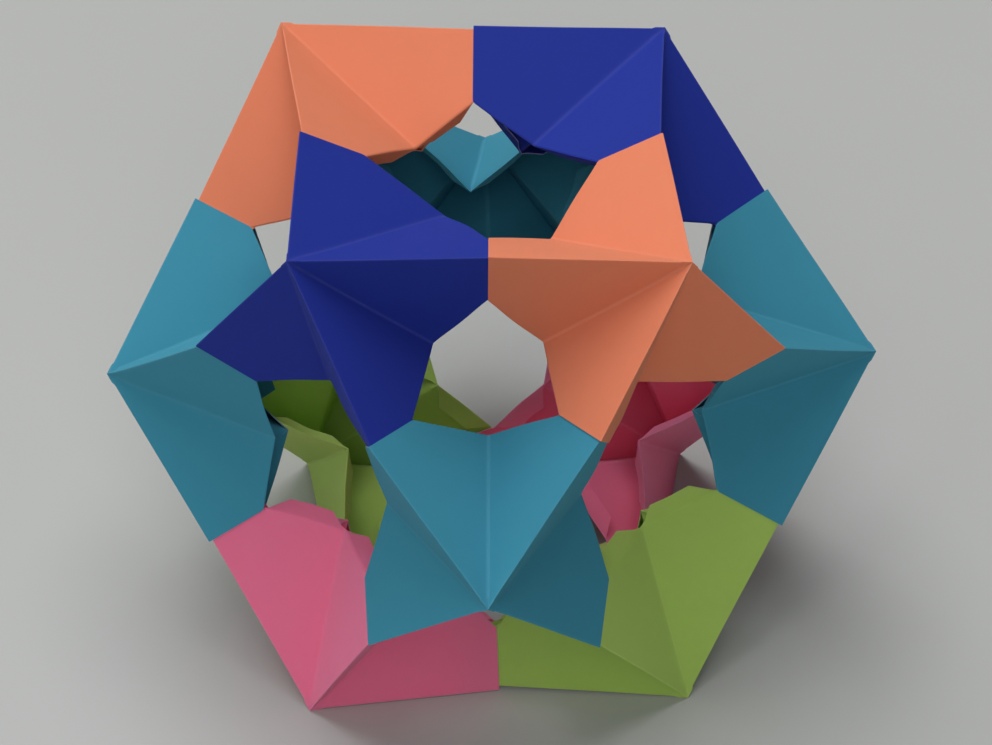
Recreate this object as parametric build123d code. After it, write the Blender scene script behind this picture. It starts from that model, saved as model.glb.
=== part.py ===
"""Kusudama paper ball: twelve folded sheets of paper, one at each corner of a cuboctahedron.

Every sheet has four mountain folds, its ridges, that run from its corner of the ball to the middle
of the four edges that meet there. A valley fold sinks the paper between each two ridges, so the sheet
stands up as a four-armed star. Where two arms meet, one sheet ends and the other carries on beneath
it as a tab. The edges that look into the windows are turned inwards as narrow hems.

Sizes are in millimetres. The ball stands on one of its square faces: the origin is on the table below
the middle of the ball, +Z is up and the front looks towards -Y.
"""

import os
from math import cos, radians, sin, sqrt

from build123d import *

# The ball and its paper
EDGE = 87.5                 # from one corner of the ball to the next
PAPER = 0.25                # thickness of one sheet
SLIP = 0.1                  # room between a tab and the sheet that covers it

# One folded sheet
ARM_HALF_WIDTH = 16.6       # from a ridge to the side of its arm, where the arm ends
VALLEY_LENGTH = 44.6        # from the corner along a valley to the window
VALLEY_ANGLE = 45.0         # paper between a ridge and the valley beside it, in degrees
TAB_LENGTH = 9.0            # how far a tab reaches beneath the next sheet
TAB_INSET = 1.6             # how far a tab's side stands back from the side of its arm
TAB_TAPER = 2.5             # how much further it stands back at the tab's far end
HEM_WIDTH = 4.5             # paper turned in along a window
HEM_FOLD = 118.0            # how far most hems are turned in, in degrees

# The one sector whose paper is cut back less: the sheet, and the two sheets beside the sector
FULL_SECTOR = ("top_front_left", {"top_front_right", "top_back_left"})
FULL_VALLEY_LENGTH = 51.6

# The sheets whose hems are pressed further in, or have sprung further open
HEM_FOLDS = {
    "bottom_front_left": 92.0,
    "bottom_front_right": 88.0,
    "middle_back": 150.0,
    "bottom_back_left": 150.0,
    "bottom_back_right": 150.0,
}

# How far the folds push each joint off the straight edge, towards the square face beside it
LEAN = 4.8
LEANS = {
    ("top_front_left", "top_back_left"): 4.6,
    ("top_front_right", "top_back_right"): 4.1,
    ("top_front_left", "middle_left"): 6.2,
    ("top_front_right", "middle_right"): 9.4,
    ("middle_front", "bottom_front_left"): 7.6,
    ("middle_front", "bottom_front_right"): 3.1,
    ("top_front_left", "middle_front"): 4.7,
    ("top_front_right", "middle_front"): 3.1,
    ("top_front_left", "top_front_right"): 1.3,
}

# The sheets that each sheet lies on: it ends on top of them, and their tabs run beneath it
LIES_ON = {
    "top_front_left": ["top_back_left", "middle_left"],
    "top_front_right": ["top_front_left", "middle_front", "top_back_right", "middle_right"],
    "top_back_left": ["middle_back"],
    "top_back_right": ["top_back_left"],
    "middle_front": ["top_front_left", "bottom_front_left", "bottom_front_right"],
    "middle_right": ["top_back_right", "bottom_front_right"],
    "middle_back": ["top_back_right", "bottom_back_left"],
    "middle_left": ["top_back_left", "bottom_front_left"],
    "bottom_front_left": ["bottom_front_right", "bottom_back_left"],
    "bottom_front_right": ["bottom_back_right"],
    "bottom_back_left": ["middle_left", "bottom_back_right"],
    "bottom_back_right": ["middle_right", "middle_back"],
}

# The ball is folded by hand, and is not quite even: how far each corner is off its even place
CORNER_SHIFTS = {
    "top_front_left": (-0.25, 0.5, 0.5),
    "top_front_right": (0.25, -1.0, -1.0),
    "top_back_left": (-1.75, 1.5, 2.0),
    "top_back_right": (-2.75, -0.5, -0.5),
    "middle_front": (-2.25, 0, 0),
    "middle_right": (-0.75, 0.5, 0.5),
    "middle_left": (0.75, 0, 0),
    "bottom_front_left": (0.75, -2.5, 0),
    "bottom_front_right": (-1.25, -1.5, 0),
}

# How far the paper's valleys are off their even places at some windows, the two sheets beside each
# named after the sheet itself. The panels beside such a valley are creased from the corner to the side.
VALLEY_SHIFTS = {
    ("top_front_left", "middle_left", "middle_front"): (-1.5, 0, 2.0),
    ("top_front_right", "middle_front", "middle_right"): (-2.5, -0.5, 1.0),
    ("top_front_right", "top_back_right", "top_front_left"): (0, -1.5, -3.5),
    ("top_back_left", "top_front_left", "top_back_right"): (-0.5, 1.0, -2.0),
    ("middle_front", "top_front_left", "bottom_front_left"): (-3.0, -1.5, 0),
    ("middle_left", "bottom_front_left", "top_front_left"): (-2.0, -4.0, -1.5),
    ("bottom_front_right", "middle_right", "middle_front"): (-1.5, -2.0, -1.0),
}

# The corners of an even ball, the corners of this one, and the outward directions of the square faces
HEIGHT = EDGE * sqrt(2)
HALF = EDGE / 2
CENTRE = Vector(0, 0, HEIGHT / 2)
EVEN_CORNERS = {
    "top_front_left": Vector(-HALF, -HALF, HEIGHT),
    "top_front_right": Vector(HALF, -HALF, HEIGHT),
    "top_back_left": Vector(-HALF, HALF, HEIGHT),
    "top_back_right": Vector(HALF, HALF, HEIGHT),
    "middle_front": Vector(0, -EDGE, HEIGHT / 2),
    "middle_right": Vector(EDGE, 0, HEIGHT / 2),
    "middle_back": Vector(0, EDGE, HEIGHT / 2),
    "middle_left": Vector(-EDGE, 0, HEIGHT / 2),
    "bottom_front_left": Vector(-HALF, -HALF, 0),
    "bottom_front_right": Vector(HALF, -HALF, 0),
    "bottom_back_left": Vector(-HALF, HALF, 0),
    "bottom_back_right": Vector(HALF, HALF, 0),
}
CORNERS = {name: even + Vector(*CORNER_SHIFTS.get(name, (0, 0, 0))) for name, even in EVEN_CORNERS.items()}
UP = Vector(0, 0, 1)
AXES = [Vector(1, 0, 0), Vector(0, 1, 0), UP]
SQUARES = [UP, -UP] + [Vector(x, y, 0).normalized() for x in (-1, 1) for y in (-1, 1)]

COVER_DEPTH = PAPER + SLIP      # from the outside of a covering sheet to the outside of a tab
EVEN = 1e-3                     # keeps an inside point in place along folds, where it is free to slide


def flattened(vector, normal):
    """A vector without its part along a unit normal."""
    return vector - normal * vector.dot(normal)


def meeting_point(planes):
    """The point where three planes meet, each given as its normal and its distance along it."""
    (n1, d1), (n2, d2), (n3, d3) = planes
    return (n2.cross(n3) * d1 + n3.cross(n1) * d2 + n1.cross(n2) * d3) / n1.dot(n2.cross(n3))


def edge_direction(sheet, other):
    """The unit vector from a sheet's corner to the next sheet's corner."""
    return (CORNERS[other] - CORNERS[sheet]).normalized()


def neighbours(sheet):
    """The four sheets one edge away, anticlockwise as seen from outside the ball."""
    axis = (CORNERS[sheet] - CENTRE).normalized()
    near = [other for other in CORNERS if HALF < (CORNERS[other] - CORNERS[sheet]).length < EDGE + HALF / 2]
    start = flattened(edge_direction(sheet, near[0]), axis)

    def turn(other):
        return start.get_signed_angle(flattened(edge_direction(sheet, other), axis), axis) % 360

    return sorted(near, key=turn)


def sectors(sheet):
    """The four pairs of neighbouring sheets between which a sheet has a valley."""
    ring = neighbours(sheet)
    return list(zip(ring, ring[1:] + ring[:1]))


def face_of(sheet, first, second):
    """The sheets around the face that lies between two edges of a corner."""
    start = EVEN_CORNERS[sheet]
    normal = (EVEN_CORNERS[first] - start).cross(EVEN_CORNERS[second] - start).normalized()
    return frozenset(name for name, even in EVEN_CORNERS.items() if abs((even - start).dot(normal)) < 1)


def joint_point(sheet, other):
    """Where the ridges of two sheets meet, on the outside of the covering sheet."""
    middle = (CORNERS[sheet] + CORNERS[other]) / 2
    square = max(SQUARES, key=(middle - CENTRE).dot)
    across = -flattened(middle - CENTRE, square).normalized()
    if square != -UP:
        across = flattened(across, (middle - CENTRE).normalized()).normalized()
    return middle + across * LEANS.get((sheet, other), LEANS.get((other, sheet), LEAN))


def sprung_valley(sheet, first, second):
    """The direction in which the flat sheet sinks between two ridges, at VALLEY_ANGLE to both."""
    ridges = [(joint_point(sheet, other) - CORNERS[sheet]).normalized() for other in (first, second)]
    middle = (ridges[0] + ridges[1]).normalized()
    along = cos(radians(VALLEY_ANGLE)) / middle.dot(ridges[0])
    return middle * along - ridges[0].cross(ridges[1]).normalized() * sqrt(1 - along**2)


def end_direction(sheet, other, face):
    """From the ridges to the side of the two arms that meet at a joint, on one face of the ball."""
    both = Vector(0, 0, 0)
    for near, far in ((sheet, other), (other, sheet)):
        valley = next(sprung_valley(near, *pair) for pair in sectors(near) if face_of(near, *pair) == face)
        normal = (joint_point(near, far) - CORNERS[near]).cross(valley)
        side = normal.cross(edge_direction(near, far)).normalized()
        both += side if side.dot(valley) > 0 else -side
    return both.normalized()


def panel_normal(corner, ridge_end, side_end):
    """The outward normal of the panel between a ridge and the side of its arm."""
    normal = (ridge_end - corner).cross(side_end - corner).normalized()
    return normal if normal.dot(corner - CENTRE) > 0 else -normal


class ArmEnd:
    """The end of one sheet's arm at its joint with another sheet.

    ridge is the end of the ridge, sides holds the side of the arm on each face, and covers holds the
    outward normals of the other sheet's panels where they cover this arm's tab.
    """

    def __init__(self, sheet, other):
        faces = [face_of(sheet, *pair) for pair in sectors(sheet) if other in pair]
        across = {face: end_direction(sheet, other, face) for face in faces}
        self.ridge = joint_point(sheet, other)
        self.sides = {face: self.ridge + across[face] * ARM_HALF_WIDTH for face in faces}
        self.covers = {}
        self.onwards = (CORNERS[other] - self.ridge).normalized()
        if other in LIES_ON[sheet]:
            return
        self.covers = {face: panel_normal(CORNERS[other], self.ridge, self.sides[face]) for face in faces}
        edge = edge_direction(sheet, other)
        sunk = [(self.covers[face], -COVER_DEPTH) for face in faces]
        self.ridge += meeting_point(sunk + [(edge, 0)])
        for face in faces:
            level = [(self.covers[face], -COVER_DEPTH), (edge, 0), (across[face], 0)]
            self.sides[face] += meeting_point(level)


def total(vectors):
    """The sum of some vectors."""
    return sum(vectors, Vector(0, 0, 0))


def outward_normal(points):
    """The unit normal of a flat outline whose points go anticlockwise as seen from outside."""
    return total(point.cross(points[index - 1]) * -1 for index, point in enumerate(points)).normalized()


def inside_point(point, normals):
    """The point on the inside of the paper below a point on its outside, where some flat panels meet."""
    rows = [total([axis * EVEN] + [n * n.dot(axis) for n in normals]) for axis in AXES]
    sunk = total(normals) * -PAPER
    return point + meeting_point([(row, sunk.dot(axis)) for row, axis in zip(rows, AXES)])


def window_point(sheet, first, second, ends):
    """Where the valley between two arms of a sheet ends at a window."""
    corner = CORNERS[sheet]
    face = face_of(sheet, first, second)
    normals = [panel_normal(corner, ends[other].ridge, ends[other].sides[face]) for other in (first, second)]
    valley = normals[0].cross(normals[1]).normalized()
    if valley.dot(sprung_valley(sheet, first, second)) < 0:
        valley = -valley
    full = FULL_SECTOR == (sheet, {first, second})
    shift = Vector(*VALLEY_SHIFTS.get((sheet, first, second), (0, 0, 0)))
    return corner + valley * (FULL_VALLEY_LENGTH if full else VALLEY_LENGTH) + shift


def hem_corners(corner, side, window, fold):
    """The free corners of the paper turned in from a window's side, its ends cut at 45 degrees."""
    outwards = panel_normal(corner, side, window)
    along = (window - side).normalized()
    away = flattened(side - corner, along).normalized()
    inwards = away * cos(radians(fold)) - outwards * sin(radians(fold))
    return side + (inwards + along) * HEM_WIDTH, window + (inwards - along) * HEM_WIDTH


def tab_corners(end, face):
    """The root of a tab's side on one face, and the far corner of that side."""
    root = end.sides[face] + (end.ridge - end.sides[face]).normalized() * TAB_INSET
    across = flattened(root - end.ridge, end.onwards).normalized()
    return root, end.ridge + end.onwards * TAB_LENGTH + across * (ARM_HALF_WIDTH - TAB_INSET - TAB_TAPER)


def outside_of(sheet):
    """The outside of one folded sheet: its named points, and the outlines of its flat panels.

    An outline is a list of point names that goes anticlockwise as seen from outside.
    """
    points = {"corner": CORNERS[sheet]}
    outlines = []
    ends = {other: ArmEnd(sheet, other) for other in neighbours(sheet)}
    fold = HEM_FOLDS.get(sheet, HEM_FOLD)
    for other, end in ends.items():
        points["ridge", other] = end.ridge
        points["tip", other] = end.ridge + end.onwards * TAB_LENGTH
    for first, second in sectors(sheet):
        face = face_of(sheet, first, second)
        window = ("window", face)
        points[window] = window_point(sheet, first, second, ends)
        for other in (first, second):
            end = ends[other]
            side, free, far = ((name, other, face) for name in ("side", "free", "far"))
            points[side] = end.sides[face]
            points[free], points[far] = hem_corners(points["corner"], points[side], points[window], fold)
            panel = ["corner", ("ridge", other), side]
            around = [panel, [window, side, free, far]]
            if (sheet, first, second) in VALLEY_SHIFTS:
                around.append(["corner", side, window])
            else:
                panel.append(window)
            if end.covers:
                root, tip_side = ("root", other, face), ("tip", other, face)
                points[root], points[tip_side] = tab_corners(end, face)
                panel.insert(2, root)
                around.append([root, ("ridge", other), ("tip", other), tip_side])
            outlines += around if other == first else [outline[::-1] for outline in around]
    return points, outlines


def flat_face(points):
    """One flat face with the given points around it."""
    return Face(Wire.make_polygon(points, close=True))


def folded_sheet(sheet):
    """One whole sheet as a solid, with its outside, its inside and the cut edges between them."""
    points, outlines = outside_of(sheet)
    meeting = {}
    edges = []
    faces = []
    for outline in outlines:
        outside = [points[name] for name in outline]
        faces.append(flat_face(outside))
        for index, name in enumerate(outline):
            meeting.setdefault(name, []).append(outward_normal(outside))
            edges.append((outline[index - 1], name))
    inside = {name: inside_point(points[name], normals) for name, normals in meeting.items()}
    for outline in outlines:
        start, *others = [inside[name] for name in outline]
        faces += [flat_face([start, here, after]) for here, after in zip(others, others[1:])]
    for start, end in edges:
        if (end, start) not in edges:
            faces.append(flat_face([points[start], points[end], inside[end]]))
            faces.append(flat_face([points[start], inside[end], inside[start]]))
    return Solid(Shell(faces))


def main():
    """Fold every sheet and write one file for each."""
    os.makedirs("parts", exist_ok=True)
    for sheet in CORNERS:
        folded = folded_sheet(sheet)
        folded.label = f"{sheet}_sheet"
        export_step(folded, f"parts/{sheet}_sheet.step")
        print(sheet, round(folded.volume), "mm3", folded.is_valid)


main()
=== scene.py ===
"""Looks of a kusudama paper ball: twelve folded sheets of coloured paper that stand on a pale table.

Each sheet is folded again here from the same measures as its solid and takes the place of the plain
node: one thin paper with slightly bowed panels, rounded folds, hems turned in at the windows and tabs
that run beneath the next sheets. All lengths are in metres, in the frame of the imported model: the ball
stands on z = 0, below its middle is the origin, and its front looks towards -Y.
"""

import logging
import math
import random
from dataclasses import dataclass, field
from enum import Enum

import bmesh
import bpy
from mathutils import Matrix, Vector, noise


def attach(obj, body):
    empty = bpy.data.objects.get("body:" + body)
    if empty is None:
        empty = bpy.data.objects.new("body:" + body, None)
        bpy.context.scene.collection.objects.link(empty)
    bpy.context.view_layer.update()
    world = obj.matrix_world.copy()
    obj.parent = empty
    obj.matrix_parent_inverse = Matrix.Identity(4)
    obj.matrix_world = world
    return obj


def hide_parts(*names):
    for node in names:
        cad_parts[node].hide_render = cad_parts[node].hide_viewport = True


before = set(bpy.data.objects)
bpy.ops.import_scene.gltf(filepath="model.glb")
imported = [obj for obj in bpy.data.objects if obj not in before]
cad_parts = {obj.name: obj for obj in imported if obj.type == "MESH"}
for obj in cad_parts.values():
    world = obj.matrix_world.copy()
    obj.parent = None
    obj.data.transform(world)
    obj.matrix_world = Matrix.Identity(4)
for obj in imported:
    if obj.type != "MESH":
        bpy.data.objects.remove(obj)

LOG = logging.getLogger("paper_ball")
MM = 0.001
EDGE = 87.5 * MM  # from one corner of the ball to the next
NOISE_SEED = 7
NEAR = 1e-4  # how close two places in a panel are to count as one
PLACE = "place"  # layer of places in a panel: x along its ridge, y from the ridge to the window edge
FLAT = "flat"  # layer of places in the flat sheet, and its UV map
PANEL = "panel"  # layer of panel numbers
HEM_END = 1.2  # the place of a hem's free edge, counted on from the window edge at 1


class PaperColour(Enum):
    """The five papers that the ball is folded from."""

    ORANGE = "orange_paper"
    DEEP_BLUE = "deep_blue_paper"
    LIGHT_BLUE = "light_blue_paper"
    PINK = "pink_paper"
    GREEN = "green_paper"


@dataclass(frozen=True)
class Signal:
    """An output of a shader node that can be used in a plain Python expression."""

    wiring: "Wiring"
    socket: bpy.types.NodeSocket

    def _math(self, operation: str, *values: object) -> "Signal":
        """The output of a Math node that works on signals or numbers."""
        node = self.wiring.node("ShaderNodeMath", {"operation": operation}, dict(enumerate(values)))
        return Signal(self.wiring, node.outputs[0])

    def __add__(self, other: object) -> "Signal":
        """Adds two values."""
        return self._math("ADD", self, other)

    def __radd__(self, other: object) -> "Signal":
        """Adds two values."""
        return self._math("ADD", other, self)

    def __sub__(self, other: object) -> "Signal":
        """Takes a value away from this one."""
        return self._math("SUBTRACT", self, other)

    def __rsub__(self, other: object) -> "Signal":
        """Takes this value away from another."""
        return self._math("SUBTRACT", other, self)

    def __mul__(self, other: object) -> "Signal":
        """Multiplies two values."""
        return self._math("MULTIPLY", self, other)

    def __rmul__(self, other: object) -> "Signal":
        """Multiplies two values."""
        return self._math("MULTIPLY", other, self)

    def __pow__(self, other: object) -> "Signal":
        """Raises this value to a power."""
        return self._math("POWER", self, other)

    def __rpow__(self, other: object) -> "Signal":
        """Raises another value to this power."""
        return self._math("POWER", other, self)

    def sin(self) -> "Signal":
        """The sine of the value."""
        return self._math("SINE", self)

    def turn_to(self, other: "Signal") -> "Signal":
        """The angle whose tangent is this value over another."""
        return self._math("ARCTAN2", self, other)

    def pingpong(self, scale: float) -> "Signal":
        """The value folded to and fro between zero and a scale."""
        return self._math("PINGPONG", self, scale)

    def fades(self, start: float, end: float) -> "Signal":
        """Smoothly goes from one to zero.

        Args:
            start: The value up to which the result is one.
            end: The value from which the result is zero.

        Returns:
            The fading mask.
        """
        node = self.wiring.node(
            "ShaderNodeMapRange",
            {"interpolation_type": "SMOOTHSTEP"},
            {"Value": self, "From Min": start, "From Max": end, "To Min": 1.0, "To Max": 0.0},
        )
        return Signal(self.wiring, node.outputs[0])


@dataclass(frozen=True)
class Wiring:
    """The node tree of one material."""

    tree: bpy.types.NodeTree

    def node(
        self, kind: str, settings: dict[str, object], inputs: dict[str | int, object]
    ) -> bpy.types.Node:
        """Adds a node.

        Args:
            kind: The node's type.
            settings: Properties to set first.
            inputs: Values or signals for its inputs, by name or number.

        Returns:
            The new node.
        """
        node = self.tree.nodes.new(kind)
        for name, value in settings.items():
            setattr(node, name, value)
        for name, value in inputs.items():
            if isinstance(value, Signal):
                self.tree.links.new(value.socket, node.inputs[name])
            else:
                node.inputs[name].default_value = value
        return node

    def feed(self, signal: Signal, shader: bpy.types.Node, name: str) -> None:
        """Links a signal to one of the shader's sockets."""
        self.tree.links.new(signal.socket, shader.inputs[name])

    def place(self) -> Signal:
        """Where a point lies on the piece."""
        return Signal(self, self.node("ShaderNodeTexCoord", {}, {}).outputs["Object"])

    def flat_place(self) -> Signal:
        """Where a point lies in the flat sheet."""
        return Signal(self, self.node("ShaderNodeUVMap", {"uv_map": FLAT}, {}).outputs[0])

    def mix(self, factor: object, first: object, second: object) -> Signal:
        """Mixes two colours or signals; the factor says how much there is of the second."""
        node = self.node("ShaderNodeMix", {"data_type": "RGBA"}, {0: factor, 6: first, 7: second})
        return Signal(self, node.outputs[2])

    def cloud(self, coordinates: Signal, scale: float, detail: float, roughness: float = 0.5) -> Signal:
        """A noise, about 0.5 on the mean; its scale is per metre and its detail says how many octaves."""
        inputs = {"Vector": coordinates, "Scale": scale, "Detail": detail, "Roughness": roughness}
        return Signal(self, self.node("ShaderNodeTexNoise", {}, inputs).outputs[0])


def blank_material(name: str) -> tuple[bpy.types.Material, Wiring, bpy.types.Node]:
    """Makes a plain material.

    Args:
        name: The material's name.

    Returns:
        The material, its wiring and its main shader.
    """
    material = bpy.data.materials.new(name)
    material.use_nodes = True
    return material, Wiring(material.node_tree), material.node_tree.nodes["Principled BSDF"]


def put_in_scene(name: str, data: bpy.types.ID) -> bpy.types.Object:
    """Adds an object to the scene.

    Args:
        name: The object's name.
        data: Its mesh, lamp or camera.

    Returns:
        The object.
    """
    thing = bpy.data.objects.new(name, data)
    bpy.context.scene.collection.objects.link(thing)
    return thing


@dataclass(frozen=True)
class PaperFinish:
    """Stiff matt coloured paper, dyed right through, a little paler where it is cut, with a painted
    highlight along its folds.
    """

    colour: tuple[float, float, float]
    # painted highlight along the folds: how strongly the folds are painted paler
    fold_highlight_gain: float = 0.05
    cloud_gain: float = 0.10
    cloud_lead: float = 1.6  # how much more the clouds tint the paper than the fibres do
    # painted highlight along the folds: how much of it there is where the fibres add none
    least_fold_highlight: float = 0.45
    cut_gain: float = 0.30
    roughness: float = 0.82
    roughness_spread: float = 0.16
    gloss: float = 0.25
    grain: float = 0.35
    grain_height: float = 0.06 * MM
    grain_shares: tuple[float, float] = (0.7, 0.6)  # of the fibres and of the dimples
    glow: float = 0.4
    glow_depth: float = 0.5 * MM
    bare_white: float = 0.8  # how bright the paper is without its dye
    dye_range: tuple[float, float] = (0.86, 1.14)  # the thinnest and the thickest dye
    fold_highlight_shade: tuple[float, float] = (1.25, 0.35)  # the painted highlight on a fold: its gain, and the white in it
    fold_highlight_width: tuple[float, float] = (0.15 * MM, 0.75 * MM)  # where the painted highlight along a fold fades
    clouds: tuple[float, ...] = (160.0, 3.0)  # scale and octaves
    fibres: tuple[float, ...] = (1500.0, 4.0, 0.65)  # scale, octaves and their roughness
    dimples: tuple[float, ...] = (420.0, 2.0)  # scale and octaves
    fibre_stretch: tuple[float, float, float] = (1.0, 0.35, 1.0)
    fibre_turn: tuple[float, float, float] = (0.0, 0.0, 0.5)

    def shade(self, gain: float, whiten: float = 0.0) -> tuple[float, float, float, float]:
        """The paper's colour, brighter or darker.

        Args:
            gain: What the colour is multiplied by.
            whiten: How much white is mixed in.

        Returns:
            A colour with its alpha.
        """
        white = self.bare_white * whiten
        red, green, blue = (min(1.0, part * gain) * (1 - whiten) + white for part in self.colour)
        return red, green, blue, 1.0

    def material(self, name: str, cut: bool) -> bpy.types.Material:
        """Makes the material.

        Args:
            name: The material's name.
            cut: Whether this is for the cut edge rather than the face of the paper.

        Returns:
            The material.
        """
        material, wiring, shader = blank_material(name)
        shader.inputs["Specular IOR Level"].default_value = self.gloss
        shader.inputs["Subsurface Weight"].default_value = self.glow
        shader.inputs["Subsurface Radius"].default_value = (1.0, 1.0, 1.0)
        shader.inputs["Subsurface Scale"].default_value = self.glow_depth
        flat, place = wiring.flat_place(), wiring.place()
        clouds = wiring.cloud(place, *self.clouds)
        fibres = wiring.cloud(self._stretched(wiring, flat), *self.fibres)
        middle = 0.5  # of a noise, and of the dye
        tints = (clouds - middle) * self.cloud_gain * self.cloud_lead + (fibres - middle) * self.cloud_gain
        colour = wiring.mix(tints + middle, *(self.shade(gain) for gain in self.dye_range))
        if cut:
            colour = wiring.mix(self.cut_gain, colour, self.shade(1.0, 1.0))
        else:
            # paint the folds paler: a painted highlight along them, patchy with the fibres
            highlight_mask = self._creases(wiring, flat) * (self.least_fold_highlight + fibres)
            colour = wiring.mix(highlight_mask * self.fold_highlight_gain, colour, self.shade(*self.fold_highlight_shade))
        wiring.feed(colour, shader, "Base Color")
        wiring.feed(self.roughness + (fibres - middle) * self.roughness_spread, shader, "Roughness")
        of_fibres, of_dimples = self.grain_shares
        height = fibres * of_fibres + wiring.cloud(place, *self.dimples) * of_dimples
        relief = {"Strength": self.grain, "Distance": self.grain_height, "Height": height}
        bump = wiring.node("ShaderNodeBump", {}, relief)
        wiring.feed(Signal(wiring, bump.outputs[0]), shader, "Normal")
        return material

    def _stretched(self, wiring: Wiring, flat: Signal) -> Signal:
        """The flat coordinates drawn out along the paper's grain."""
        inputs = {"Vector": flat, "Scale": self.fibre_stretch, "Rotation": self.fibre_turn}
        return Signal(wiring, wiring.node("ShaderNodeMapping", {}, inputs).outputs[0])

    def _creases(self, wiring: Wiring, flat: Signal) -> Signal:
        """Where the paper is painted paler as a highlight: on the folds, which run every 45 degrees from
        the middle of the flat sheet.

        Args:
            wiring: The node tree.
            flat: Coordinates in the flat sheet.

        Returns:
            A mask that is one on the folds.
        """
        half_panel = math.pi / 8
        parts = wiring.node("ShaderNodeSeparateXYZ", {}, {0: flat})
        across, up = Signal(wiring, parts.outputs[0]), Signal(wiring, parts.outputs[1])
        reach = (across * across + up * up) ** 0.5
        off = reach * up.turn_to(across).pingpong(half_panel).sin()
        return off.fades(*self.fold_highlight_width)


FINISHES = {
    PaperColour.ORANGE: PaperFinish((0.745, 0.221, 0.115)),
    PaperColour.DEEP_BLUE: PaperFinish((0.010, 0.027, 0.284), cut_gain=0.22),
    PaperColour.LIGHT_BLUE: PaperFinish((0.0414, 0.256, 0.366)),
    PaperColour.PINK: PaperFinish((0.985, 0.193, 0.337), glow=0.9),
    PaperColour.GREEN: PaperFinish((0.388, 0.562, 0.124), glow=0.9),
}


@dataclass(frozen=True)
class PaperMeasures:
    """The measures that all sheets share."""

    edge: float = EDGE
    thickness: float = 0.25 * MM
    slip: float = 0.1 * MM  # between a tab and the sheet over it
    arm_half_width: float = 16.6 * MM
    valley_length: float = 44.6 * MM
    full_valley_length: float = 51.6 * MM
    valley_angle: float = math.radians(45)
    tab_length: float = 9.0 * MM
    tab_narrowing: float = 4.1 * MM
    tab_sinking: float = 1.3 * MM
    tab_drop: float = 0.3 * MM
    broad_narrowing: float = 3.0  # how much more a tab narrows for each metre its arm is broader
    broad_sinking: float = 0.25  # and how much deeper its side lies
    hem_width: float = 4.5 * MM
    hem_fold: float = math.radians(118)
    lean: float = 4.8 * MM
    fold_roundness: float = 0.55 * MM
    tight_hem: float = math.radians(130)  # hems turned in further than this bend more softly
    tight_roundness: float = 1.0 * MM
    panel_cuts: int = 15
    hem_cuts: int = 2
    fold_segments: int = 2
    sharp_angle: float = math.radians(14)  # edges that bend more than this are drawn sharp


def flattened(vector: Vector, normal: Vector) -> Vector:
    """A vector without its part along a unit normal."""
    return vector - normal * vector.dot(normal)


def meeting_point(planes: list[tuple[Vector, float]]) -> Vector:
    """The point where three planes meet, each given as a normal and its distance along it."""
    (n1, d1), (n2, d2), (n3, d3) = planes
    return (n2.cross(n3) * d1 + n3.cross(n1) * d2 + n1.cross(n2) * d3) / n1.dot(n2.cross(n3))


def shift(across: float, back: float, up: float) -> Vector:
    """A shift that is given in millimetres."""
    return Vector((across, back, up)) * MM


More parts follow.
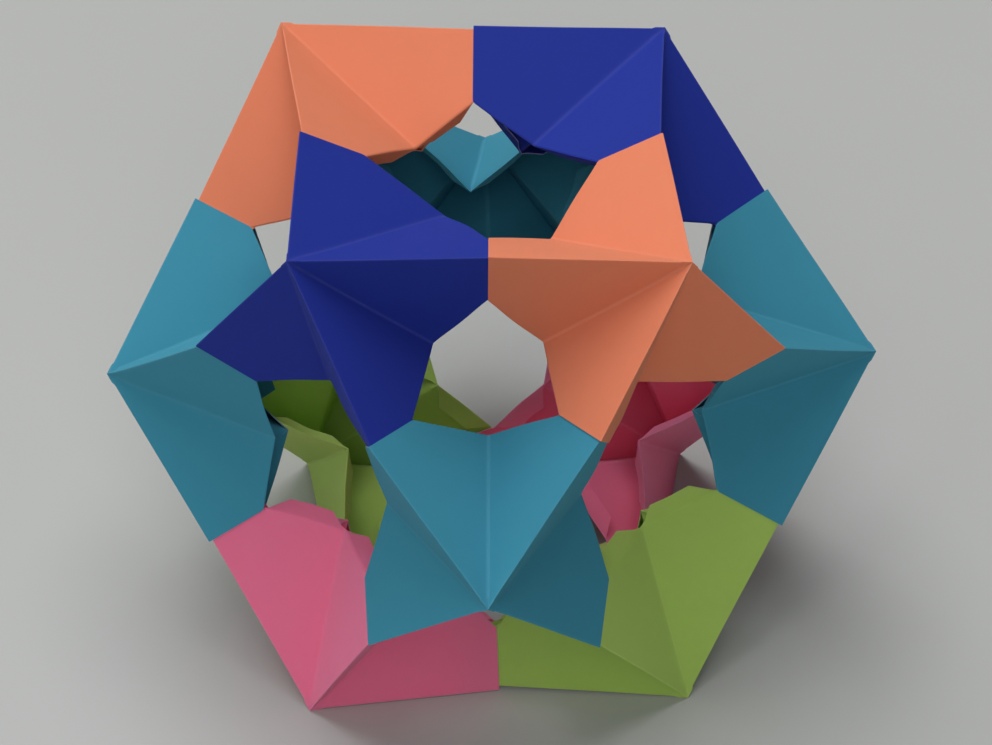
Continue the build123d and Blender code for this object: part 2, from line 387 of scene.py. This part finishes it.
@dataclass
class BallShape:
    """Where the corners and joints of the ball are; it is folded by hand and not quite even.

    A valley is named by its sheet and the two sheets on its sides, a hem by its sheet, the sheet that its
    arm reaches and the sheet on its other side, and a joint by its two sheets.
    """

    measures: PaperMeasures = PaperMeasures()
    corner_shifts: dict[str, Vector] = field(
        default_factory=lambda: {
            "top_front_left": shift(-0.25, 0.5, 0.5),
            "top_front_right": shift(0.25, -1.0, -1.0),
            "top_back_left": shift(-1.75, 1.5, 2.0),
            "top_back_right": shift(-2.75, -0.5, -0.5),
            "middle_front": shift(-2.25, 0, 0),
            "middle_right": shift(-0.75, 0.5, 0.5),
            "middle_left": shift(0.75, 0, 0),
            "bottom_front_left": shift(0.75, -2.5, 0),
            "bottom_front_right": shift(-1.25, -1.5, 0),
        }
    )
    valley_shifts: dict[tuple[str, str, str], Vector] = field(
        default_factory=lambda: {
            ("top_front_left", "middle_left", "middle_front"): shift(-1.5, 0, 2.0),
            ("top_front_right", "middle_front", "middle_right"): shift(-2.5, -0.5, 1.0),
            ("top_front_right", "top_back_right", "top_front_left"): shift(0, -1.5, -3.5),
            ("top_back_left", "top_front_left", "top_back_right"): shift(-0.5, 1.0, -2.0),
            ("middle_front", "top_front_left", "bottom_front_left"): shift(-3.0, -1.5, 0),
            ("middle_left", "bottom_front_left", "top_front_left"): shift(-2.0, -4.0, -1.5),
            ("middle_left", "bottom_back_left", "bottom_front_left"): shift(-1.4, -1.1, -1.2),
            ("bottom_front_right", "middle_right", "middle_front"): shift(-1.5, -2.0, -1.0),
            ("middle_back", "top_back_left", "top_back_right"): shift(-1.0, -1.5, -2.5),
            ("top_back_right", "top_back_left", "top_front_right"): shift(0, 2.0, 0.5),
        }
    )
    sheet_hem_degrees: dict[str, float] = field(
        default_factory=lambda: {
            "bottom_front_left": 150,
            "bottom_front_right": 150,
            "middle_back": 150,
            "bottom_back_left": 150,
            "bottom_back_right": 150,
        }
    )
    hem_degrees: dict[tuple[str, str, str], float] = field(
        default_factory=lambda: {
            ("bottom_front_left", "middle_left", "middle_front"): 60,
            ("bottom_front_left", "middle_front", "middle_left"): 75,
            ("bottom_front_right", "middle_right", "middle_front"): 52,
            ("bottom_front_right", "middle_front", "middle_right"): 60,
            ("middle_left", "top_front_left", "bottom_front_left"): 150,
            ("middle_left", "bottom_front_left", "top_front_left"): 138,
            ("middle_left", "bottom_back_left", "bottom_front_left"): 155,
            ("middle_left", "bottom_front_left", "bottom_back_left"): 155,
            ("middle_right", "top_front_right", "bottom_front_right"): 135,
            ("middle_right", "bottom_front_right", "bottom_back_right"): 155,
            ("middle_right", "bottom_back_right", "bottom_front_right"): 155,
            ("top_back_left", "top_back_right", "top_front_left"): 98,
            ("top_back_left", "top_front_left", "top_back_right"): 106,
        }
    )
    broad_joints: dict[frozenset[str], float] = field(
        default_factory=lambda: {
            frozenset(("top_back_left", "top_back_right")): 3.0 * MM,
            frozenset(("middle_right", "bottom_front_right")): 2.0 * MM,
        }
    )
    full_valley: tuple[str, frozenset[str]] = (
        "top_front_left",
        frozenset(("top_front_right", "top_back_left")),
    )
    leans: dict[frozenset[str], float] = field(
        default_factory=lambda: {
            frozenset(("top_front_left", "top_back_left")): 4.6 * MM,
            frozenset(("top_front_right", "top_back_right")): 4.1 * MM,
            frozenset(("top_front_left", "middle_left")): 6.2 * MM,
            frozenset(("top_front_right", "middle_right")): 9.4 * MM,
            frozenset(("middle_front", "bottom_front_left")): 7.6 * MM,
            frozenset(("middle_front", "bottom_front_right")): 3.1 * MM,
            frozenset(("top_front_left", "middle_front")): 4.7 * MM,
            frozenset(("top_front_right", "middle_front")): 3.1 * MM,
            frozenset(("top_front_left", "top_front_right")): 1.3 * MM,
        }
    )
    lies_on: dict[str, tuple[str, ...]] = field(
        default_factory=lambda: {
            "top_front_left": ("top_back_left", "middle_left"),
            "top_front_right": ("top_front_left", "middle_front", "top_back_right", "middle_right"),
            "top_back_left": ("middle_back",),
            "top_back_right": ("top_back_left",),
            "middle_front": ("top_front_left", "bottom_front_left", "bottom_front_right"),
            "middle_right": ("top_back_right", "bottom_front_right"),
            "middle_back": ("top_back_right", "bottom_back_left"),
            "middle_left": ("top_back_left", "bottom_front_left"),
            "bottom_front_left": ("bottom_front_right", "bottom_back_left"),
            "bottom_front_right": ("bottom_back_right",),
            "bottom_back_left": ("middle_left", "bottom_back_right"),
            "bottom_back_right": ("middle_right", "middle_back"),
        }
    )

    def __post_init__(self) -> None:
        """Works out the corners."""
        half, whole = self.measures.edge / 2, self.measures.edge
        height = whole * math.sqrt(2)
        self.centre = Vector((0, 0, height / 2))
        self.even = {
            "top_front_left": Vector((-half, -half, height)),
            "top_front_right": Vector((half, -half, height)),
            "top_back_left": Vector((-half, half, height)),
            "top_back_right": Vector((half, half, height)),
            "middle_front": Vector((0, -whole, height / 2)),
            "middle_right": Vector((whole, 0, height / 2)),
            "middle_back": Vector((0, whole, height / 2)),
            "middle_left": Vector((-whole, 0, height / 2)),
            "bottom_front_left": Vector((-half, -half, 0)),
            "bottom_front_right": Vector((half, -half, 0)),
            "bottom_back_left": Vector((-half, half, 0)),
            "bottom_back_right": Vector((half, half, 0)),
        }
        none = Vector((0, 0, 0))
        shifts = self.corner_shifts
        self.corners = {name: even + shifts.get(name, none) for name, even in self.even.items()}
        flat = [Vector((x, y, 0)).normalized() for x in (-1, 1) for y in (-1, 1)]
        self.squares = [Vector((0, 0, 1)), Vector((0, 0, -1))] + flat

    def towards(self, sheet: str, other: str) -> Vector:
        """The unit vector from a sheet's corner to the next sheet's corner."""
        return (self.corners[other] - self.corners[sheet]).normalized()

    def neighbours(self, sheet: str) -> list[str]:
        """The four sheets one edge away.

        Args:
            sheet: The sheet in their middle.

        Returns:
            Their names, anticlockwise as seen from outside.
        """
        start = self.corners[sheet]
        axis = (start - self.centre).normalized()
        nearest, farthest = 0.5 * self.measures.edge, 1.25 * self.measures.edge
        near = [
            name for name, corner in self.corners.items() if nearest < (corner - start).length < farthest
        ]
        first = flattened(self.towards(sheet, near[0]), axis).normalized()
        second = axis.cross(first)

        def turn(name: str) -> float:
            """The angle of an edge round the corner."""
            way = self.towards(sheet, name)
            return math.atan2(way.dot(second), way.dot(first)) % math.tau

        return sorted(near, key=turn)

    def sectors(self, sheet: str) -> list[tuple[str, str]]:
        """The four pairs of neighbouring sheets between which a sheet has a valley."""
        ring = self.neighbours(sheet)
        return list(zip(ring, ring[1:] + ring[:1]))

    def face_of(self, sheet: str, first: str, second: str) -> frozenset[str]:
        """The face of the ball that lies between two edges of a corner.

        Args:
            sheet: The sheet at the corner.
            first: The sheet at the end of one edge.
            second: The sheet at the end of the other edge.

        Returns:
            The sheets around the face.
        """
        start = self.even[sheet]
        normal = (self.even[first] - start).cross(self.even[second] - start).normalized()
        return frozenset(name for name, even in self.even.items() if abs((even - start).dot(normal)) < MM)

    def joint_point(self, sheet: str, other: str) -> Vector:
        """Where the ridges of two sheets meet, on the outside of the covering sheet.

        Args:
            sheet: One sheet.
            other: The other sheet.

        Returns:
            The point, a little inside the edge between them, towards the square face.
        """
        middle = (self.corners[sheet] + self.corners[other]) / 2
        square = max(self.squares, key=(middle - self.centre).dot)
        across = -flattened(middle - self.centre, square).normalized()
        stands_on_it = square.z < -0.5
        if not stands_on_it:
            across = flattened(across, (middle - self.centre).normalized()).normalized()
        return middle + across * self.leans.get(frozenset((sheet, other)), self.measures.lean)

    def sprung_valley(self, sheet: str, first: str, second: str) -> Vector:
        """The direction in which the flat sheet sinks between two ridges.

        Args:
            sheet: The sheet.
            first: The sheet that one ridge runs to.
            second: The sheet that the other ridge runs to.

        Returns:
            The unit vector along the valley.
        """
        start = self.corners[sheet]
        ridges = [(self.joint_point(sheet, name) - start).normalized() for name in (first, second)]
        middle = (ridges[0] + ridges[1]).normalized()
        along = math.cos(self.measures.valley_angle) / middle.dot(ridges[0])
        return middle * along - ridges[0].cross(ridges[1]).normalized() * math.sqrt(1 - along**2)

    def end_direction(self, sheet: str, other: str, face: frozenset[str]) -> Vector:
        """The way from the ridges to the side of the two arms that meet at a joint.

        Args:
            sheet: One sheet.
            other: The other sheet.
            face: The face of the ball on which the side lies.

        Returns:
            The unit vector.
        """
        both = Vector((0, 0, 0))
        for near, far in ((sheet, other), (other, sheet)):
            pair = next(pair for pair in self.sectors(near) if self.face_of(near, *pair) == face)
            valley = self.sprung_valley(near, *pair)
            normal = (self.joint_point(near, far) - self.corners[near]).cross(valley)
            side = normal.cross(self.towards(near, far)).normalized()
            both += side if side.dot(valley) > 0 else -side
        return both.normalized()

    def extra_width(self, sheet: str, other: str, face: frozenset[str]) -> float:
        """How much broader a joint is than the others; a broad one is so on its square face alone."""
        is_square = len(face) == 4
        return self.broad_joints.get(frozenset((sheet, other)), 0.0) if is_square else 0.0

    def hem_fold(self, sheet: str, arm: str, beside: str) -> float:
        """The angle by which the hem of one panel is turned in, on a sheet's arm and beside another arm."""
        degrees = self.hem_degrees.get((sheet, arm, beside), self.sheet_hem_degrees.get(sheet))
        return self.measures.hem_fold if degrees is None else math.radians(degrees)

    def panel_normal(self, corner: Vector, ridge: Vector, side: Vector) -> Vector:
        """The outward normal of the panel between a ridge and the side of its arm."""
        normal = (ridge - corner).cross(side - corner).normalized()
        return normal if normal.dot(corner - self.centre) > 0 else -normal


@dataclass
class ArmEnd:
    """The end of one sheet's arm at its joint with another sheet."""

    ball: BallShape
    sheet: str
    other: str

    def __post_init__(self) -> None:
        """Works out the end of the arm."""
        ball, sheet, other = self.ball, self.sheet, self.other
        half_width = ball.measures.arm_half_width
        faces = [ball.face_of(sheet, *pair) for pair in ball.sectors(sheet) if other in pair]
        across = {face: ball.end_direction(sheet, other, face) for face in faces}
        widths = {face: half_width + ball.extra_width(sheet, other, face) for face in faces}
        self.extra_width = max(ball.extra_width(sheet, other, face) for face in faces)
        self.ridge = ball.joint_point(sheet, other)
        self.sides = {face: self.ridge + across[face] * widths[face] for face in faces}
        self.onwards = (ball.corners[other] - self.ridge).normalized()
        self.has_tab = other not in ball.lies_on[sheet]
        if self.has_tab:
            self._sink(across)

    def _sink(self, across: dict[frozenset[str], Vector]) -> None:
        """Lowers the end beneath the sheet that covers it.

        Args:
            across: The way from the ridge to the arm's side on each face of the ball.
        """
        ball, sides = self.ball, self.sides
        depth = -(ball.measures.thickness + ball.measures.slip)
        edge = ball.towards(self.sheet, self.other)
        cover = ball.corners[self.other]
        normals = {face: ball.panel_normal(cover, self.ridge, side) for face, side in sides.items()}
        planes = [(normal, depth) for normal in normals.values()]
        self.ridge = self.ridge + meeting_point(planes + [(edge, 0)])
        for face, normal in normals.items():
            sides[face] = sides[face] + meeting_point([(normal, depth), (edge, 0), (across[face], 0)])


@dataclass(frozen=True)
class SheetMood:
    """How one folded sheet differs from the plain shape: its bows and how far its hems spring open."""

    bow: float = 0.45 * MM
    bow_range: tuple[float, float] = (-0.4, 1.0)  # as shares of the bow, outwards more than inwards
    bow_haste: float = 1.15  # how much sooner than at the window edge the bow is full
    scallop: float = 0.3 * MM
    scallop_range: tuple[float, float] = (-0.6, 1.0)
    hem_spread: float = math.radians(6)
    window_spring: float = 0.4  # the share of a hem's spring at the window; it is whole at the arm's side


@dataclass(frozen=True)
class Waviness:
    """One slow waviness that all sheets share, so that joints stay together."""

    reach: float = 0.45 * MM
    per_metre: float = 22.0
    start: tuple[float, float, float] = (3.1, 7.7, 1.9)
    full_from: float = 12 * MM  # the height above the table from which it moves points up and down in full

    def at(self, spot: Vector) -> Vector:
        """How far a point moves.

        Args:
            spot: The point.

        Returns:
            The move, level on the table.
        """
        move = noise.noise_vector(spot * self.per_metre + Vector(self.start)) * self.reach
        move.z *= min(1.0, max(0.0, spot.z / self.full_from))
        return move


@dataclass(frozen=True)
class Panel:
    """One of the eight panels of a sheet, between the ridge of an arm and a valley."""

    other: str  # the sheet that the arm reaches
    side: Vector  # where the arm's side ends
    window: Vector  # where the valley ends
    off: Vector  # how far that end is shifted
    outwards: Vector
    fold: float
    bow: float
    scallop: float
    spring: float

    def along(self) -> Vector:
        """The way along the window edge, from the arm's side to the valley."""
        return (self.window - self.side).normalized()

    def away(self, corner: Vector) -> Vector:
        """The way across the window edge, away from the sheet's corner."""
        return flattened(self.side - corner, self.along()).normalized()


def layers_of(bm: bmesh.types.BMesh) -> tuple[object, object, object]:
    """The layers of places, flat places and panel numbers."""
    of_points = bm.verts.layers.float_vector
    return of_points[PLACE], of_points[FLAT], bm.faces.layers.int[PANEL]


def rungs_of(verts: list[bmesh.types.BMVert]) -> list[bmesh.types.BMEdge]:
    """The edges that lead from a strip's new points back to the edge that it was drawn from."""
    return [edge for vert in verts for edge in vert.link_edges if edge.other_vert(vert) not in verts]


@dataclass
class FoldedSheet:
    """One folded sheet of paper."""

    ball: BallShape
    name: str
    colour: PaperColour
    mood: SheetMood = SheetMood()
    waviness: Waviness = Waviness()
    panels: list[Panel] = field(default_factory=list)
    folds: list[bmesh.types.BMEdge] = field(default_factory=list)
    tight_hems: list[bmesh.types.BMEdge] = field(default_factory=list)

    def __post_init__(self) -> None:
        """Works out the ends of the arms."""
        self.chance = random.Random(f"sheet {self.name}")
        self.corner = self.ball.corners[self.name]
        self.ends = {
            other: ArmEnd(self.ball, self.name, other) for other in self.ball.neighbours(self.name)
        }

    def window_point(self, first: str, second: str) -> Vector:
        """Where the valley between two arms would end at a window if both panels were flat.

        Args:
            first: The sheet that one arm reaches.
            second: The sheet that the other arm reaches.

        Returns:
            The point.
        """
        face = self.ball.face_of(self.name, first, second)
        normals = [
            self.ball.panel_normal(self.corner, self.ends[other].ridge, self.ends[other].sides[face])
            for other in (first, second)
        ]
        valley = normals[0].cross(normals[1]).normalized()
        if valley.dot(self.ball.sprung_valley(self.name, first, second)) < 0:
            valley = -valley
        full = self.ball.full_valley == (self.name, frozenset((first, second)))
        measures = self.ball.measures
        return self.corner + valley * (measures.full_valley_length if full else measures.valley_length)

    def build(self) -> bpy.types.Object:
        """Folds the sheet.

        Returns:
            The finished piece.
        """
        bm = bmesh.new()
        self._lay_out(bm)
        self._bow(bm)
        self._turn_in_hems(bm)
        self._add_tabs(bm)
        for vert in bm.verts:
            vert.co = vert.co + self.waviness.at(vert.co)
        self._write_flat(bm)
        self._round(bm, self.tight_hems, self.ball.measures.tight_roundness)
        self._round(bm, self.folds, self.ball.measures.fold_roundness)
        mesh = bpy.data.meshes.new(f"{self.name}_paper")
        bm.to_mesh(mesh)
        bm.free()
        return self._thicken(mesh)

    def _lay_out(self, bm: bmesh.types.BMesh) -> None:
        """Lays out the eight panels and divides them.

        Args:
            bm: The mesh that is being made.
        """
        place = bm.verts.layers.float_vector.new(PLACE)
        flat = bm.verts.layers.float_vector.new(FLAT)
        panel = bm.faces.layers.int.new(PANEL)
        quarter = math.pi / 2

        def point(where: Vector, at: tuple[float, float], angle: float) -> bmesh.types.BMVert:
            """Adds a point.

            Args:
                where: Its place on the ball.
                at: Its place in its panel.
                angle: Its angle in the flat sheet.

            Returns:
                The point.
            """
            vert = bm.verts.new(where)
            reach = (where - self.corner).length
            vert[place] = Vector((*at, 0))
            vert[flat] = Vector((math.cos(angle) * reach, math.sin(angle) * reach, 0))
            return vert

        middle = point(self.corner, (0, 0), 0)
        ring = self.ball.neighbours(self.name)
        ridges = {other: point(self.ends[other].ridge, (1, 0), i * quarter) for i, other in enumerate(ring)}
        for index, (first, second) in enumerate(self.ball.sectors(self.name)):
            face = self.ball.face_of(self.name, first, second)
            window = point(self.window_point(first, second), (0, 1), (index + 0.5) * quarter)
            off = self.ball.valley_shifts.get((self.name, first, second), Vector((0, 0, 0)))
            for other, beside, sign in ((first, second, 1), (second, first, -1)):
                end = self.ends[other]
                turn = (end.ridge - self.corner).angle(end.sides[face] - self.corner)
                base = index if sign > 0 else index + 1
                side = point(end.sides[face], (1, 1), base * quarter + sign * turn)
                around = [middle, ridges[other], side, window]
                new = bm.faces.new(around if sign > 0 else around[::-1])
                new[panel] = len(self.panels)
                self.panels.append(self._panel(other, beside, end.sides[face], window.co + off, off))
        bmesh.ops.subdivide_edges(
            bm, edges=bm.edges[:], cuts=self.ball.measures.panel_cuts, use_grid_fill=True
        )
        for edge in bm.edges:
            ends = [vert[place] for vert in edge.verts]
            on_ridge = all(abs(at.y) < NEAR for at in ends)
            in_valley = all(abs(at.x) < NEAR for at in ends)
            at_corner = any(at.length < NEAR for at in ends)
            if (on_ridge or in_valley) and not at_corner:
                self.folds.append(edge)

    def _panel(self, other: str, beside: str, side: Vector, window: Vector, off: Vector) -> Panel:
        """Settles how one panel is folded and bowed.

        Args:
            other: The sheet that its arm reaches.
            beside: The sheet on the other side of its valley.
            side: Where the arm's side ends.
            window: Where the valley ends.
            off: How far that end is shifted.

        Returns:
            The panel.
        """
        return Panel(
            other=other,
            side=side.copy(),
            window=window,
            off=off,
            outwards=self.ball.panel_normal(self.corner, side, window),
            fold=self.ball.hem_fold(self.name, other, beside),
            bow=self.chance.uniform(*self.mood.bow_range) * self.mood.bow,
            scallop=self.chance.uniform(*self.mood.scallop_range) * self.mood.scallop,
            spring=self.chance.gauss(0, 1) * self.mood.hem_spread,
        )

    def _bow(self, bm: bmesh.types.BMesh) -> None:
        """Shifts the valleys and bows the panels and window edges; the arm ends stay where they are.

        Args:
            bm: The mesh that is being made.
        """
        place, _, panel = layers_of(bm)
        for vert in bm.verts:
            at = vert[place]
            swell = math.sin(math.pi * at.x) ** 2
            mine = self.panels[vert.link_faces[0][panel]]
            vert.co += mine.off * (at.y * (1 - at.x))
            if swell < NEAR or at.y < NEAR:
                continue
            rise = math.sin(min(1.0, at.y * self.mood.bow_haste) * math.pi / 2)
            bow = mine.outwards * (swell * rise * mine.bow)
            vert.co += bow + mine.away(self.corner) * (swell * at.y**3 * mine.scallop)

    def _turn_in_hems(self, bm: bmesh.types.BMesh) -> None:
        """Turns the paper in along each window edge.

        Args:
            bm: The mesh that is being made.
        """
        place, flat, panel = layers_of(bm)
        measures = self.ball.measures
        for index, mine in enumerate(self.panels):
            chain = [
                edge
                for edge in bm.edges
                if edge.is_boundary
                and edge.link_faces[0][panel] == index
                and all(vert[place].y > 1 - NEAR for vert in edge.verts)
                and any(vert[place].x < 1 - NEAR for vert in edge.verts)
            ]
            along, away = mine.along(), mine.away(self.corner)
            ends = {vert for edge in chain for vert in edge.verts}
            at_window, at_side = (
                min(ends, key=lambda vert: abs(vert[place].x - end))[flat].copy() for end in (0, 1)
            )
            made = bmesh.ops.extrude_edge_only(bm, edges=chain)["geom"]
            flat_along = (at_window - at_side).normalized()
            flat_away = Vector((flat_along.y, -flat_along.x, 0))
            if flat_away.dot(at_window) < 0:
                flat_away = -flat_away
            verts = [item for item in made if isinstance(item, bmesh.types.BMVert)]
            for vert in verts:
                share = vert[place].x
                slant = 2 * share - 1
                loose = self.mood.window_spring
                fold = mine.fold + mine.spring * (loose + (1 - loose) * share)
                inwards = away * math.cos(fold) - mine.outwards * math.sin(fold)
                vert.co += (inwards + along * slant) * measures.hem_width
                vert[flat] = vert[flat] + (flat_away + flat_along * slant) * measures.hem_width
                vert[place] = Vector((share, HEM_END, 0))
            if mine.fold > measures.tight_hem:
                self.tight_hems += chain
            else:
                self.folds += chain
            bmesh.ops.subdivide_edges(bm, edges=rungs_of(verts), cuts=measures.hem_cuts)

    def _add_tabs(self, bm: bmesh.types.BMesh) -> None:
        """Lengthens each covered arm beneath the sheet that covers it.

        Args:
            bm: The mesh that is being made.
        """
        place, flat, panel = layers_of(bm)
        measures = self.ball.measures
        for other, end in self.ends.items():
            if not end.has_tab:
                continue
            narrowing = measures.tab_narrowing + measures.broad_narrowing * end.extra_width
            sinking = measures.tab_sinking + measures.broad_sinking * end.extra_width
            on_arm = {index for index, mine in enumerate(self.panels) if mine.other == other}
            chain = [
                edge
                for edge in bm.edges
                if edge.is_boundary
                and edge.link_faces[0][panel] in on_arm
                and all(vert[place].x > 1 - NEAR and vert[place].y < 1 + NEAR for vert in edge.verts)
            ]
            made = bmesh.ops.extrude_edge_only(bm, edges=chain)["geom"]
            verts = [item for item in made if isinstance(item, bmesh.types.BMVert)]
            for vert in verts:
                share = vert[place].y
                mine = self.panels[vert.link_faces[0][panel]]
                across = (mine.side - end.ridge).normalized()
                sunk = mine.outwards * sinking * math.sqrt(share)
                sunk += (vert.co - self.ball.centre).normalized() * measures.tab_drop
                vert.co += end.onwards * measures.tab_length - across * narrowing * share - sunk
                vert[flat] = vert[flat] + vert[flat].normalized() * measures.tab_length
            on_ridge = min(rungs_of(verts), key=lambda edge: min(vert[place].y for vert in edge.verts))
            self.folds.append(on_ridge)

    def _write_flat(self, bm: bmesh.types.BMesh) -> None:
        """Writes the flat places as a UV map.

        Args:
            bm: The mesh that is being made.
        """
        flat = bm.verts.layers.float_vector[FLAT]
        uv = bm.loops.layers.uv.new(FLAT)
        for face in bm.faces:
            face.smooth = True
            for loop in face.loops:
                loop[uv].uv = loop.vert[flat].xy

    def _round(self, bm: bmesh.types.BMesh, edges: list[bmesh.types.BMEdge], offset: float) -> None:
        """Rounds folds.

        Args:
            bm: The mesh that is being made.
            edges: The fold edges, some of which an earlier rounding may have used up.
            offset: How far from the fold the paper starts to bend.
        """
        bmesh.ops.bevel(
            bm,
            geom=[edge for edge in edges if edge.is_valid],
            offset=offset,
            offset_type="OFFSET",
            affect="EDGES",
            segments=self.ball.measures.fold_segments,
            profile=0.5,
            material=-1,
            clamp_overlap=True,
        )

    def _thicken(self, mesh: bpy.types.Mesh) -> bpy.types.Object:
        """Gives the paper its thickness and its materials.

        Args:
            mesh: The outside of the sheet.

        Returns:
            The finished piece.
        """
        finish, paper = FINISHES[self.colour], self.colour.value
        mesh.materials.append(finish.material(f"{paper}_face_{self.name}", cut=False))
        mesh.materials.append(finish.material(f"{paper}_cut_{self.name}", cut=True))
        outside = put_in_scene("outside", mesh)
        solidify = outside.modifiers.new("thickness", "SOLIDIFY")
        solidify.thickness = self.ball.measures.thickness
        solidify.offset = -1.0
        solidify.use_even_offset = False
        solidify.material_offset_rim = 1
        bpy.context.view_layer.update()
        graph = bpy.context.evaluated_depsgraph_get()
        solid = bpy.data.meshes.new_from_object(outside.evaluated_get(graph))
        bpy.data.objects.remove(outside)
        solid.set_sharp_from_angle(angle=self.ball.measures.sharp_angle)
        piece = put_in_scene(f"{self.name}_folded_paper", solid)
        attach(piece, "root")
        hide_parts(f"{self.name}_sheet")
        return piece


@dataclass
class PaperBall:
    """The whole ball."""

    shape: BallShape = field(default_factory=BallShape)
    colours: dict[str, PaperColour] = field(
        default_factory=lambda: {
            "top_back_left": PaperColour.ORANGE,
            "top_back_right": PaperColour.DEEP_BLUE,
            "top_front_left": PaperColour.DEEP_BLUE,
            "top_front_right": PaperColour.ORANGE,
            "middle_left": PaperColour.LIGHT_BLUE,
            "middle_front": PaperColour.LIGHT_BLUE,
            "middle_right": PaperColour.LIGHT_BLUE,
            "middle_back": PaperColour.LIGHT_BLUE,
            "bottom_front_left": PaperColour.PINK,
            "bottom_front_right": PaperColour.GREEN,
            "bottom_back_left": PaperColour.GREEN,
            "bottom_back_right": PaperColour.PINK,
        }
    )

    def build(self) -> list[bpy.types.Object]:
        """Folds all sheets."""
        return [FoldedSheet(self.shape, name, colour).build() for name, colour in self.colours.items()]


@dataclass(frozen=True)
class Tabletop:
    """The pale matt table."""

    size: float = 6.0
    colour: tuple[float, float, float] = (0.4535, 0.461, 0.4495)
    roughness: float = 0.6
    patches: tuple[float, float] = (14.0, 3.0)  # scale and octaves
    patch_shade: float = 0.965

    def build(self) -> bpy.types.Object:
        """Makes the table top.

        Returns:
            The table top.
        """
        bm = bmesh.new()
        bmesh.ops.create_grid(bm, x_segments=2, y_segments=2, size=self.size / 2)
        mesh = bpy.data.meshes.new("tabletop")
        bm.to_mesh(mesh)
        bm.free()
        material, wiring, shader = blank_material("table_paint")
        shader.inputs["Roughness"].default_value = self.roughness
        darker = tuple(part * self.patch_shade for part in self.colour)
        patches = wiring.cloud(wiring.place(), *self.patches)
        wiring.feed(wiring.mix(patches, (*self.colour, 1.0), (*darker, 1.0)), shader, "Base Color")
        mesh.materials.append(material)
        top = put_in_scene("tabletop", mesh)
        return top


@dataclass(frozen=True)
class SoftLamp:
    """One large soft lamp that points at the ball."""

    name: str
    place: tuple[float, float, float]
    size: float
    power: float
    aim: tuple[float, float, float] = (0.0, 0.0, 0.06)

    def build(self) -> None:
        """Hangs the lamp."""
        light = bpy.data.lights.new(self.name, "AREA")
        light.shape = "DISK"
        light.size = self.size
        light.energy = self.power
        lamp = put_in_scene(self.name, light)
        lamp.location = self.place
        way = Vector(self.aim) - Vector(self.place)
        lamp.rotation_euler = way.to_track_quat("-Z", "Y").to_euler()


@dataclass(frozen=True)
class Studio:
    """The light of the room, and the long lens that looks down on the ball."""

    elevation: float = math.radians(37.62)
    azimuth: float = math.radians(-0.04)
    roll: float = math.radians(-1.42)
    distance: float = 19.17 * EDGE
    aside: tuple[float, float] = (-1.0875 * MM, 1.925 * MM)
    focal_pixels: float = 7434
    picture_width: float = 992
    sensor_width: float = 36
    farthest: float = 50
    room_colour: tuple[float, float, float, float] = (0.93, 0.97, 1.0, 1.0)
    room_strength: float = 0.04
    lamps: tuple[SoftLamp, ...] = (
        SoftLamp("ceiling", (0.0, 0.2, 2.4), 2.0, 34.9),
        SoftLamp("window_behind", (-1.0, 1.3, 2.0), 2.2, 21.3),
        SoftLamp("window_beside", (-1.2, -1.3, 1.8), 1.2, 5.0),
        SoftLamp("pale_wall_left", (-2.2, 0.0, 0.9), 1.5, 5.7),
        SoftLamp("pale_wall_front", (0.0, -2.3, 1.1), 1.5, 10.1),
        SoftLamp("window_in_front", (0.0, -1.9, 1.9), 1.0, 10.7),
    )

    def light(self) -> None:
        """Sets the lamps and the room's own light."""
        for lamp in self.lamps:
            lamp.build()
        world = bpy.data.worlds.new("room")
        world.use_nodes = True
        background = world.node_tree.nodes["Background"]
        background.inputs["Color"].default_value = self.room_colour
        background.inputs["Strength"].default_value = self.room_strength
        bpy.context.scene.world = world
        bpy.context.scene.view_settings.view_transform = "Standard"

    def camera(self, centre: Vector) -> None:
        """Sets the camera.

        Args:
            centre: The middle of the ball.
        """
        level = math.cos(self.elevation)
        back = Vector(
            (math.sin(self.azimuth) * level, -math.cos(self.azimuth) * level, math.sin(self.elevation))
        )
        right = (-back).cross(Vector((0, 0, 1))).normalized()
        up = right.cross(-back)
        turn = Matrix.Rotation(self.roll, 3, back)
        right, up = turn @ right, turn @ up
        data = bpy.data.cameras.new("camera")
        data.sensor_width = self.sensor_width
        data.lens = self.focal_pixels / self.picture_width * self.sensor_width
        data.clip_end = self.farthest
        camera = put_in_scene("camera", data)
        place = centre + back * self.distance - right * self.aside[0] - up * self.aside[1]
        axes = Matrix((right, up, back)).transposed().to_4x4()
        camera.matrix_world = Matrix.Translation(place) @ axes
        bpy.context.scene.camera = camera


def main() -> None:
    """Builds the ball, the table and the studio, and logs how many faces each piece has."""
    logging.basicConfig(level=logging.INFO)
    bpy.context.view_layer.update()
    noise.seed_set(NOISE_SEED)
    ball = PaperBall()
    for piece in ball.build() + [Tabletop().build()]:
        LOG.info("%s: %d faces", piece.name, len(piece.data.polygons))
    studio = Studio()
    studio.light()
    studio.camera(ball.shape.centre)


if __name__ == "__main__":
    main()
